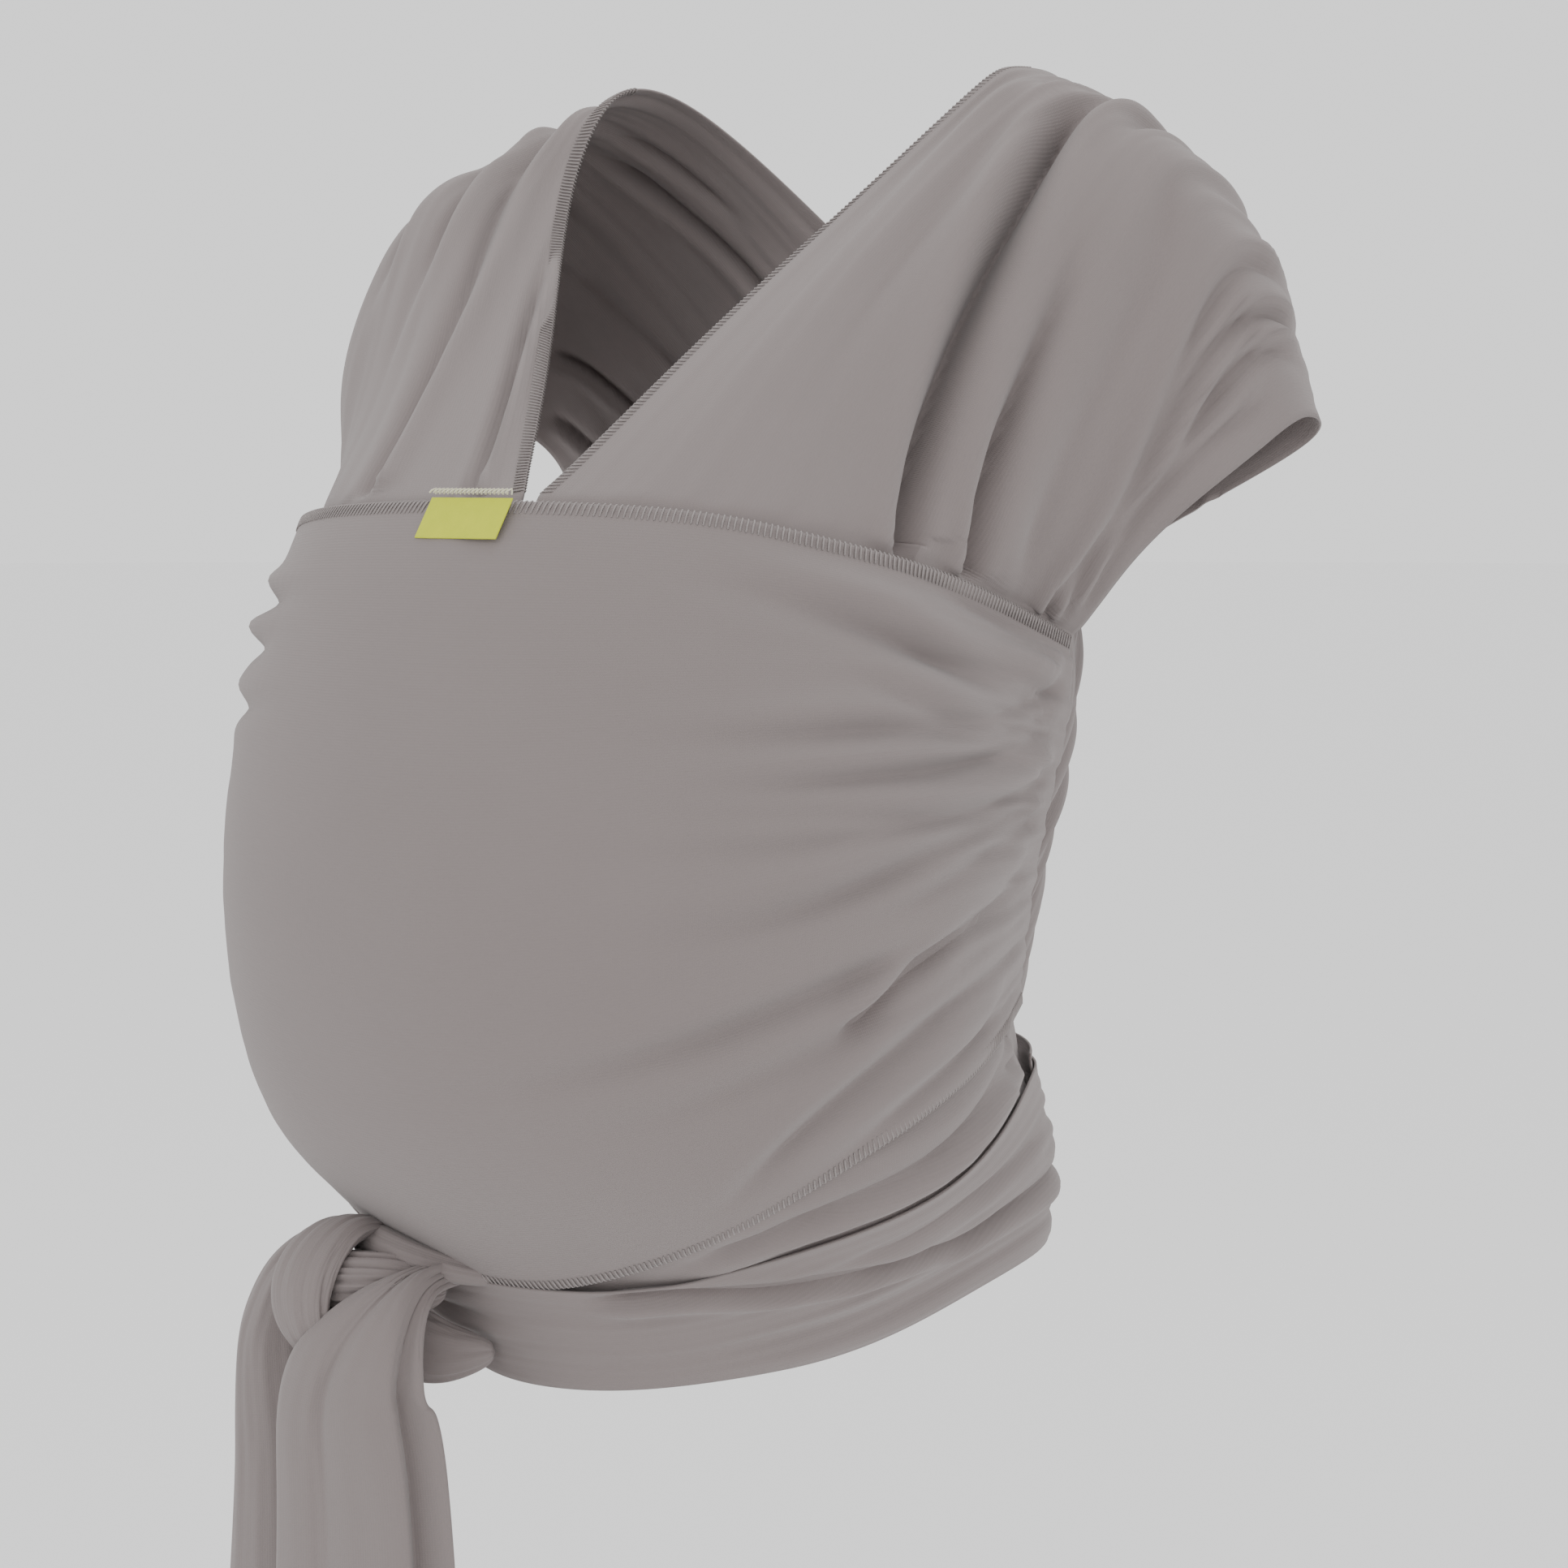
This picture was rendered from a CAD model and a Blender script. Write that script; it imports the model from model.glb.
"""Baby wrap sling in warm grey stretch jersey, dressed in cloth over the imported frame.

Lengths in the classes are in millimetres, in the frame's own axes: +Z up, the wearer faces -Y, and the
wearer's left is +X. They become metres where a mesh is made.
"""
from __future__ import annotations

import logging
import math
from dataclasses import dataclass, field
from enum import Enum
from typing import Callable, Sequence

import bmesh
import bpy
import numpy as np
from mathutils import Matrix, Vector

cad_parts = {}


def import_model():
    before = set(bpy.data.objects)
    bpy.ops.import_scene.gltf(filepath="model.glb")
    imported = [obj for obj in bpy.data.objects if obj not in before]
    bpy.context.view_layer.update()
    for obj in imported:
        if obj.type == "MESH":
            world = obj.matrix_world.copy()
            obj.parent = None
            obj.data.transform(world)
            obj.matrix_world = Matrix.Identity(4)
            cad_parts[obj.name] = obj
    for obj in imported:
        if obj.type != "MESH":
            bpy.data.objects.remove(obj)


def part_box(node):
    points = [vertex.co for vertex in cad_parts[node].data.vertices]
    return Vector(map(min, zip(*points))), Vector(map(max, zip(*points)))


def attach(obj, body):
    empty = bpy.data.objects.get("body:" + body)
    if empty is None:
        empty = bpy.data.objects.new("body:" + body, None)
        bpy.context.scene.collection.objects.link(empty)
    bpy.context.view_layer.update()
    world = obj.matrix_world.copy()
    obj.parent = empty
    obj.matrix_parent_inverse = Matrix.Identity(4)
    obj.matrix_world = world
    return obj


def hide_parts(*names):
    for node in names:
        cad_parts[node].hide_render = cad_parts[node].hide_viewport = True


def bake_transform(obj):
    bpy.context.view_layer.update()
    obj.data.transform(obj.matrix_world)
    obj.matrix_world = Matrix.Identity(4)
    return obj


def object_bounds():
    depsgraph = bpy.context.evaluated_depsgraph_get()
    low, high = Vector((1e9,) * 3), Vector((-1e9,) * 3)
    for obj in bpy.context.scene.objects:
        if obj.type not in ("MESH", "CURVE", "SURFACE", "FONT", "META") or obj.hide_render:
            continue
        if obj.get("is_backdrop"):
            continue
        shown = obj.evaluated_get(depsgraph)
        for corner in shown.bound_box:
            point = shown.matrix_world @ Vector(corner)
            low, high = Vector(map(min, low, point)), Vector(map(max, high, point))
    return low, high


LOG = logging.getLogger("sling")
MM = 0.001
SEED = 7
Row = Sequence[float]


class Side(Enum):
    """A side of the wearer, as the sign of X."""

    LEFT = 1
    RIGHT = -1


class Body(Enum):
    """The bodies of the frame that pieces ride on."""

    WRAP = "wrap"
    LEFT_TAIL = "left_tail"
    RIGHT_TAIL = "right_tail"
    TAG = "tag"
    CARE_LABEL = "care_label"


# ---------------------------------------------------------------- curves


def spline(values: Sequence, at: Sequence, knots: Sequence | None = None) -> np.ndarray:
    """Read a natural cubic spline.

    Args:
        values: the values at the knots, numbers or vectors.
        at: the places to read it at.
        knots: the knots, or None for 0, 1, 2 and so on.

    Returns:
        The spline's values at those places.
    """
    values, at = np.asarray(values, float), np.asarray(at, float)
    knots = np.arange(len(values), dtype=float) if knots is None else np.asarray(knots, float)
    column = (-1,) + (1,) * (values.ndim - 1)
    gaps, last = np.diff(knots), len(knots) - 1
    slopes = np.diff(values, axis=0) / gaps.reshape(column)
    matrix, right = np.eye(last + 1), np.zeros_like(values)
    for i in range(1, last):
        matrix[i, i - 1:i + 2] = gaps[i - 1], 2 * (gaps[i - 1] + gaps[i]), gaps[i]
        right[i] = 6 * (slopes[i] - slopes[i - 1])
    bends = np.linalg.solve(matrix, right.reshape(last + 1, -1)).reshape(values.shape)
    i = np.clip(np.searchsorted(knots, at) - 1, 0, last - 1)
    gap, gone, left = (a.reshape(column) for a in (gaps[i], at - knots[i], knots[i + 1] - at))
    return ((bends[i] * left ** 3 + bends[i + 1] * gone ** 3) / (6 * gap)
            + (values[i] / gap - bends[i] * gap / 6) * left
            + (values[i + 1] / gap - bends[i + 1] * gap / 6) * gone)


def net(rows: Sequence, along: int, across: int) -> np.ndarray:
    """Grid of points through rows of points, fair both ways."""
    down = spline(rows, np.linspace(0, len(rows) - 1, along))
    return spline(down.transpose(1, 0, 2), np.linspace(0, down.shape[1] - 1, across)).transpose(1, 0, 2)


def smooth_step(low: float, high: float, at: np.ndarray) -> np.ndarray:
    """0 below low, 1 above high, and smooth between them."""
    part = np.clip((np.asarray(at, float) - low) / (high - low), 0, 1)
    return part * part * (3 - 2 * part)


def normals(grid: np.ndarray) -> np.ndarray:
    """Unit normals of a grid of points."""
    out = np.cross(np.gradient(grid, axis=0), np.gradient(grid, axis=1))
    return out / np.maximum(np.linalg.norm(out, axis=2, keepdims=True), 1e-9)


# ---------------------------------------------------------------- the shape under the cloth


@dataclass
class Trunk:
    """The wearer's torso and the baby in front of it, which the cloth lies on in layers.

    Attributes:
        layer: from one layer of cloth to the next.
        axis_y: the upright line that angles are measured about, from the front towards the left.
        torso: height, half width and half depth of the torso.
        baby: height, half width, half depth and centre Y of the baby.
    """

    layer: float = 4.4
    axis_y: float = -60.0
    torso_y: float = 5.0
    blend: float = 4.0
    torso: tuple[Row, ...] = (
        (-60, 120, 95), (0, 124, 96), (47, 127, 97), (79, 128, 98), (121, 121, 94), (209, 129, 96),
        (269, 146, 103), (304, 154, 106), (340, 153, 106), (400, 158, 108), (480, 164, 108), (560, 166, 106))
    baby: tuple[Row, ...] = (
        (-60, 90, 86, -70), (0, 104, 95, -84), (47, 128, 108, -95), (90, 158, 133, -112),
        (140, 170, 151, -124), (200, 173, 159, -129), (270, 171, 155, -128), (340, 163, 139, -120),
        (392, 151, 121, -112), (440, 140, 100, -96), (560, 110, 60, -60))
    heights: np.ndarray = field(default_factory=lambda: np.linspace(-20, 540, 225))
    tables: dict[float, np.ndarray] = field(default_factory=dict)

    def table(self, layer: float) -> np.ndarray:
        """X and Y of one layer over all heights and whole half degrees, worked out once."""
        if layer not in self.tables:
            torso = spline([r[1:] for r in self.torso], self.heights, [r[0] for r in self.torso])[:, :, None]
            baby = spline([r[1:] for r in self.baby], self.heights, [r[0] for r in self.baby])[:, :, None]
            turn = np.linspace(-math.pi, 3 * math.pi, 1441)
            across, fore = np.sin(turn), -np.cos(turn)
            one = np.hypot(torso[:, 0] * across, torso[:, 1] * fore) + self.torso_y * fore
            two = np.hypot(baby[:, 0] * across, baby[:, 1] * fore) + baby[:, 2] * fore
            reach = self.blend * np.logaddexp(one / self.blend, two / self.blend) + layer * self.layer
            slope = np.gradient(reach, turn, axis=1)
            x, y = reach * across - slope * fore, reach * fore + slope * across
            around = np.degrees(np.unwrap(np.arctan2(x, self.axis_y - y), axis=1))
            degrees = np.linspace(-180, 180, 721)
            self.tables[layer] = np.array([[np.interp(degrees, a, v) for v in (p, q)]
                                           for a, p, q in zip(around, x, y)])
        return self.tables[layer]

    def points(self, angles: np.ndarray, heights: np.ndarray, layer: float) -> np.ndarray:
        """Points of a layer at these angles and heights."""
        angles, heights = np.broadcast_arrays(np.asarray(angles, float), np.asarray(heights, float))
        table = self.table(layer)
        column = (np.mod(angles + 180, 360)) * 2
        row = (heights - self.heights[0]) / (self.heights[1] - self.heights[0])
        row = np.clip(row, 0, len(self.heights) - 1.001)
        i, j = np.floor(row).astype(int), np.floor(column).astype(int)
        p, q = (row - i)[..., None], (column - j)[..., None]
        pick = [table[i + a, :, (j + b) % 721] for a in (0, 1) for b in (0, 1)]
        flat = ((pick[0] * (1 - q) + pick[1] * q) * (1 - p) + (pick[2] * (1 - q) + pick[3] * q) * p)
        return np.concatenate([flat, heights[..., None]], axis=-1)


# ---------------------------------------------------------------- folds


@dataclass(frozen=True)
class Fold:
    """A crease pressed into a sheet, with a soft roll of cloth beside it.

    Attributes:
        line: where it runs, as places that the sheet's own place function reads.
        depth: how deep the crease is.
        width: half its width.
        roll: height of the roll beside it, as a share of the depth.
        side: 1 or -1, the side that the roll is on.
        start: share of its length over which it fades in.
        end: share of its length over which it fades out.
    """

    line: tuple[Row, ...]
    depth: float
    width: float
    roll: float = 0.6
    side: int = 1
    start: float = 0.35
    end: float = 0.25

    def lift(self, grid: np.ndarray, outwards: np.ndarray, place: Callable[[Row], np.ndarray]) -> np.ndarray:
        """How far each point of the grid moves along its normal for this fold."""
        steps = 90
        knots = np.array([place(p) for p in self.line], float)
        many = np.linspace(0, len(knots) - 1, steps)
        path = spline(knots, many) if len(knots) > 2 else knots[0] + many[:, None] * (knots[1] - knots[0])
        low, high = path.min(0) - 6 * self.width, path.max(0) + 6 * self.width
        near = ((grid > low) & (grid < high)).all(axis=2)
        out = np.zeros(grid.shape[:2])
        if not near.any():
            return out
        points, ways = grid[near], outwards[near]
        away = points[:, None, :] - path[None]
        nearest = (away ** 2).sum(2).argmin(1)
        tangent = np.gradient(path, axis=0)
        tangent /= np.linalg.norm(tangent, axis=1, keepdims=True)
        across = np.cross(tangent[nearest], ways)
        offset = (away[np.arange(len(points)), nearest] * across).sum(1) * self.side / self.width
        along = nearest / (steps - 1)
        fade = smooth_step(0, self.start, along) * smooth_step(0, self.end, 1 - along)
        past = (away[np.arange(len(points)), nearest] * tangent[nearest]).sum(1) / self.width
        fade *= np.exp(-np.clip(np.abs(past) - 1, 0, None) ** 2)
        valley = np.exp(-np.abs(offset) ** 1.6)
        roll = np.exp(-((offset - 1.9) / 1.25) ** 2) + 0.35 * np.exp(-((offset + 2.0) / 1.5) ** 2)
        out[near] = self.depth * fade * (self.roll * roll - valley)
        return out


@dataclass(frozen=True)
class Gathers:
    """Fine ripples that run along a sheet, stronger where the cloth is drawn in.

    Attributes:
        count: how many ripples cross the sheet.
        height: their height where the cloth is drawn in most.
        strength: share of that height from place to place, as pairs of place along and share.
        drift: how much the ripples wander.
    """

    count: float
    height: float
    strength: tuple[Row, ...]
    drift: float = 0.6
    seed: int = SEED

    def lift(self, along: np.ndarray, across: np.ndarray) -> np.ndarray:
        """How far each point moves along its normal, from its places along and across, each 0 to 1."""
        rng = np.random.default_rng(self.seed)
        total = np.zeros(np.broadcast(along, across).shape)
        for octave, share in ((1.0, 0.6), (1.7, 0.35), (2.9, 0.2)):
            phase, bend, sway = rng.uniform(0, 2 * math.pi, 3)
            wander = self.drift * (np.sin(2.3 * math.pi * along * octave + bend)
                                   + 0.5 * np.sin(5.1 * math.pi * along + sway + 3 * across))
            wave = np.sin(2 * math.pi * self.count * octave * across + phase + wander)
            total = total + share * np.sign(wave) * np.abs(wave) ** 0.85
        places, shares = zip(*self.strength)
        return self.height * total * np.interp(along, places, shares)


# ---------------------------------------------------------------- materials


class Socket:
    """A shader socket that takes part in Python expressions."""

    def __init__(self, graph: Graph, link: bpy.types.NodeSocket) -> None:
        """Keep the graph and the output socket."""
        self.graph, self.link = graph, link

    def _math(self, operation: str, *values: Socket | float) -> Socket:
        """A Math node on these values."""
        return self.graph.node("ShaderNodeMath", {"operation": operation}, *values)

    def __add__(self, other: Socket | float) -> Socket:
        """self + other."""
        return self._math("ADD", self, other)

    def __sub__(self, other: Socket | float) -> Socket:
        """self - other."""
        return self._math("SUBTRACT", self, other)

    def __rsub__(self, other: float) -> Socket:
        """other - self."""
        return self._math("SUBTRACT", other, self)

    def __mul__(self, other: Socket | float) -> Socket:
        """self * other."""
        return self._math("MULTIPLY", self, other)

    __radd__, __rmul__ = __add__, __mul__

    def sine(self) -> Socket:
        """The sine of self, in radians."""
        return self._math("SINE", self)

    def clamped(self) -> Socket:
        """self, held between 0 and 1."""
        return self.graph.node("ShaderNodeClamp", {}, self)


class Graph:
    """A material's nodes, built from Python expressions."""

    def __init__(self, name: str) -> None:
        """Start a material with its shader and output."""
        self.material = bpy.data.materials.new(name)
        self.material.use_nodes = True
        self.tree = self.material.node_tree
        self.shader = self.tree.nodes["Principled BSDF"]

    def node(self, kind: str, settings: dict, *values: Socket | float, out: int | str = 0) -> Socket:
        """Add a node.

        Args:
            kind: its type.
            settings: properties that are set first.
            values: what its inputs get, in order; None leaves one alone.
            out: the output that is returned.

        Returns:
            The output as a Socket.
        """
        made = self.tree.nodes.new(kind)
        for name, value in settings.items():
            setattr(made, name, value)
        for socket, value in zip(made.inputs, values):
            if isinstance(value, Socket):
                self.tree.links.new(value.link, socket)
            elif value is not None:
                socket.default_value = value
        return Socket(self, made.outputs[out])

    def coordinates(self, output: str, scale: Sequence[float]) -> Socket:
        """A piece's own coordinates, scaled."""
        place = self.node("ShaderNodeTexCoord", {}, out=output)
        return self.node("ShaderNodeMapping", {}, place, None, None, tuple(scale))

    def noise(self, place: Socket, scale: float, detail: float = 2.0, rough: float = 0.5) -> Socket:
        """Noise from 0 to 1 at these coordinates."""
        made = self.tree.nodes.new("ShaderNodeTexNoise")
        self.tree.links.new(place.link, made.inputs["Vector"])
        for name, value in (("Scale", scale), ("Detail", detail), ("Roughness", rough)):
            made.inputs[name].default_value = value
        return Socket(self, made.outputs[0])

    def mix(self, share: Socket, low: Sequence[float], high: Sequence[float]) -> Socket:
        """A colour between two, by a share."""
        made = self.tree.nodes.new("ShaderNodeMix")
        made.data_type = "RGBA"
        self.tree.links.new(share.link, made.inputs[0])
        made.inputs[6].default_value = (*low, 1)
        made.inputs[7].default_value = (*high, 1)
        return Socket(self, made.outputs[2])

    def set(self, name: str, value: Socket | float | Sequence[float]) -> None:
        """Give one of the shader's sockets a value or a link."""
        socket = self.shader.inputs[name]
        if isinstance(value, Socket):
            self.tree.links.new(value.link, socket)
        else:
            socket.default_value = value

    def bump(self, height: Socket, strength: float, distance: float) -> None:
        """Feed the shader's normal from a height."""
        made = self.tree.nodes.new("ShaderNodeBump")
        made.inputs["Strength"].default_value = strength
        made.inputs["Distance"].default_value = distance
        self.tree.links.new(height.link, made.inputs["Height"])
        self.tree.links.new(made.outputs[0], self.shader.inputs["Normal"])


@dataclass(frozen=True)
class Jersey:
    """Stretch jersey knit: fine wales, a little mottling, and a soft bloom at grazing angles."""

    shade: tuple[float, float, float] = (0.210, 0.180, 0.175)
    light: tuple[float, float, float] = (0.246, 0.211, 0.206)
    wales_per_metre: float = 900.0
    slot: str = "jersey"

    def make(self) -> bpy.types.Material:
        """Build the material."""
        graph = Graph("jersey_knit")
        place = graph.coordinates("UV", (1, 1, 1))
        cloud = graph.noise(place, 14.0, 3.0, 0.55)
        fibre = graph.noise(graph.coordinates("UV", (1, 14, 1)), 160.0, 3.0, 0.6)
        split = graph.tree.nodes.new("ShaderNodeSeparateXYZ")
        graph.tree.links.new(place.link, split.inputs[0])
        across, along = Socket(graph, split.outputs[1]), Socket(graph, split.outputs[0])
        wale = (across * (2 * math.pi * self.wales_per_metre)).sine()
        loop = (along * (2 * math.pi * self.wales_per_metre * 1.3) + wale * 1.2).sine()
        tone = (cloud * 0.45 + fibre * 0.45 + wale * 0.04 + loop * 0.03).clamped()
        graph.set("Base Color", graph.mix(tone, self.shade, self.light))
        graph.set("Roughness", (0.86 + fibre * 0.1).clamped())
        graph.set("Sheen Weight", 0.18)
        graph.set("Sheen Roughness", 0.6)
        graph.set("Specular IOR Level", 0.18)
        graph.bump(fibre * 0.5 + wale * 0.35 + loop * 0.25, 0.22, 0.0004)
        return graph.material


@dataclass(frozen=True)
class Thread:
    """Twisted sewing thread in the cloth's own colour, or another."""

    name: str
    shade: tuple[float, float, float]
    light: tuple[float, float, float]
    slot: str = "thread"

    def make(self) -> bpy.types.Material:
        """Build the material."""
        graph = Graph(self.name)
        ply = graph.noise(graph.coordinates("Object", (1, 1, 1)), 900.0, 2.0, 0.6)
        graph.set("Base Color", graph.mix(ply, self.shade, self.light))
        graph.set("Roughness", (0.7 + ply * 0.2).clamped())
        graph.set("Sheen Weight", 0.2)
        graph.bump(ply, 0.3, 0.0003)
        return graph.material


@dataclass(frozen=True)
class WovenRibbon:
    """Close woven ribbon: a fine plain weave with a slight gloss."""

    name: str
    slot: str
    shade: tuple[float, float, float]
    light: tuple[float, float, float]
    picks_per_metre: float = 1400.0
    roughness: float = 0.6

    def make(self) -> bpy.types.Material:
        """Build the material."""
        graph = Graph(self.name)
        place = graph.coordinates("UV", (1, 1, 1))
        split = graph.tree.nodes.new("ShaderNodeSeparateXYZ")
        graph.tree.links.new(place.link, split.inputs[0])
        warp = (Socket(graph, split.outputs[0]) * (2 * math.pi * self.picks_per_metre)).sine()
        weft = (Socket(graph, split.outputs[1]) * (2 * math.pi * self.picks_per_metre)).sine()
        weave = warp * weft
        cloud = graph.noise(place, 120.0, 3.0, 0.6)
        graph.set("Base Color", graph.mix((cloud * 0.8 + weave * 0.12).clamped(), self.shade, self.light))
        graph.set("Roughness", (self.roughness + cloud * 0.15).clamped())
        graph.bump(weave, 0.25, 0.0003)
        return graph.material


# ---------------------------------------------------------------- meshes


@dataclass
class Workshop:
    """Attributes:
        cloth: thickness of the jersey.
        jersey, thread: the two finishes used all over.
    """

    cloth: float = 1.1
    jersey: bpy.types.Material = field(init=False)
    thread: bpy.types.Material = field(init=False)

    def __post_init__(self) -> None:
        """Build the shared finishes."""
        self.jersey = Jersey().make()
        self.thread = Thread("overlock_thread", (0.235, 0.207, 0.200), (0.330, 0.295, 0.288)).make()

    def link(self, name: str, mesh: bpy.types.Mesh, material: bpy.types.Material) -> bpy.types.Object:
        """Put a mesh in the scene as a smooth object with one finish."""
        mesh.materials.append(material)
        mesh.polygons.foreach_set("use_smooth", [True] * len(mesh.polygons))
        piece = bpy.data.objects.new(name, mesh)
        bpy.context.scene.collection.objects.link(piece)
        LOG.info("%s: %d faces", name, len(mesh.polygons))
        return piece

    def sheet(self, name: str, grid: np.ndarray, thickness: float | None = None,
              material: bpy.types.Material | None = None) -> bpy.types.Object:
        """Make a closed sheet of cloth.

        Args:
            name: the piece's name.
            grid: its middle surface, in millimetres.
            thickness: how thick it is, or None for the jersey.
            material: its finish, or None for the jersey.

        Returns:
            The piece.
        """
        thick = self.cloth if thickness is None else thickness
        rows, columns = grid.shape[:2]
        along = np.concatenate([[0], np.cumsum(np.linalg.norm(np.diff(grid, axis=0), axis=2).mean(1))])
        across = np.concatenate([[0], np.cumsum(np.linalg.norm(np.diff(grid, axis=1), axis=2).mean(0))])
        out = normals(grid)
        half = out * thick / 2
        points = np.concatenate([(grid - half).reshape(-1, 3), (grid + half).reshape(-1, 3)])
        index = np.arange(rows * columns).reshape(rows, columns)
        quads = np.stack([index[:-1, :-1], index[1:, :-1], index[1:, 1:], index[:-1, 1:]], -1).reshape(-1, 4)
        rim = np.concatenate([index[:, 0], index[-1, 1:], index[::-1, -1][1:], index[0, ::-1][1:-1]])
        nxt, up = np.roll(rim, -1), rows * columns
        sides = np.stack([rim, nxt, nxt + up, rim + up], -1)
        faces = np.concatenate([quads[:, ::-1], quads + up, sides[:, ::-1]])
        mesh = bpy.data.meshes.new(name)
        mesh.from_pydata((points * MM).tolist(), [], faces.tolist())
        places = np.stack(np.broadcast_arrays(along[:, None], across[None, :]), -1).reshape(-1, 2) * MM
        places = np.concatenate([places, places])
        corners = np.empty(len(mesh.loops), dtype=np.int32)
        mesh.loops.foreach_get("vertex_index", corners)
        mesh.uv_layers.new(name="UVMap").data.foreach_set("uv", places[corners].ravel())
        piece = self.link(name, mesh, material or self.jersey)
        self.face_out(piece)
        return piece

    @staticmethod
    def face_out(piece: bpy.types.Object) -> None:
        """Point a closed piece's faces outwards."""
        work = bmesh.new()
        work.from_mesh(piece.data)
        bmesh.ops.recalc_face_normals(work, faces=work.faces)
        work.to_mesh(piece.data)
        work.free()

    def stitches(self, name: str, edge: np.ndarray, inward: np.ndarray, out: np.ndarray,
                 pitch: float = 2.6, depth: float = 6.0, body: Body = Body.WRAP,
                 nodes: Sequence[str] = ()) -> bpy.types.Object:
        """Overlock stitching along a raw edge, as slanted loops of thread and a chain at their foot.

        Args:
            name: the piece's name.
            edge: points along the edge.
            inward: at each, the way into the cloth.
            out: at each, the cloth's outward normal.
            pitch: from one stitch to the next.
            depth: how far the stitches reach into the cloth.
            body: what it rides on.
            nodes: the CAD nodes that it stands for.

        Returns:
            The piece.
        """
        lengths = np.concatenate([[0], np.cumsum(np.linalg.norm(np.diff(edge, axis=0), axis=1))])
        count = int(lengths[-1] / pitch)
        at = (np.arange(count) + 0.5) * pitch
        read = [np.stack([np.interp(at, lengths, v[:, k]) for k in range(3)], -1)
                for v in (edge, inward, out)]
        tangent = np.stack([np.gradient(read[0][:, k]) for k in range(3)], -1)
        tangent /= np.linalg.norm(tangent, axis=1, keepdims=True)
        radius, half = 0.42, self.cloth / 2 + 0.35
        # One loop of thread, as steps along the edge, into the cloth and out of it.
        loop = ((-0.9, depth, half), (-0.2, depth * 0.45, half + 0.15), (0.5, 0.4, half),
                (0.7, -0.7, 0.0), (0.9, 0.5, -half), (1.2, depth * 0.8, -half))
        ring = 5
        turn = np.linspace(0, 2 * math.pi, ring, endpoint=False)
        points, faces = [], []
        for i in range(count):
            centre, inwards, outwards = (v[i] for v in read)
            path = np.array([centre + t * tangent[i] + d * inwards + h * outwards for t, d, h in loop])
            ways = np.gradient(path, axis=0)
            ways /= np.linalg.norm(ways, axis=1, keepdims=True)
            one = np.cross(ways, tangent[i] + 0.01)
            one /= np.linalg.norm(one, axis=1, keepdims=True)
            two = np.cross(ways, one)
            base = len(points)
            for p, a, b in zip(path, one, two):
                points.extend(p + radius * (a * math.cos(t) + b * math.sin(t)) for t in turn)
            for r in range(len(path) - 1):
                faces.extend((base + r * ring + k, base + r * ring + (k + 1) % ring,
                              base + (r + 1) * ring + (k + 1) % ring, base + (r + 1) * ring + k)
                             for k in range(ring))
            faces.append(tuple(base + k for k in reversed(range(ring))))
            faces.append(tuple(base + (len(path) - 1) * ring + k for k in range(ring)))
        mesh = bpy.data.meshes.new(name)
        mesh.from_pydata((np.array(points) * MM).tolist(), [], faces)
        piece = self.link(name, mesh, self.thread)
        self.face_out(piece)
        return self.place(piece, body, "thread", nodes)

    @staticmethod
    def place(piece: bpy.types.Object, body: Body, slot: str, nodes: Sequence[str] = ()) -> bpy.types.Object:
        """Make a piece ride on a body, take its slot and stand for CAD nodes."""
        if body is not None:
            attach(piece, body.value)
        if nodes:
            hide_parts(*nodes)
        return piece


# ---------------------------------------------------------------- passes of the cloth


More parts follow.
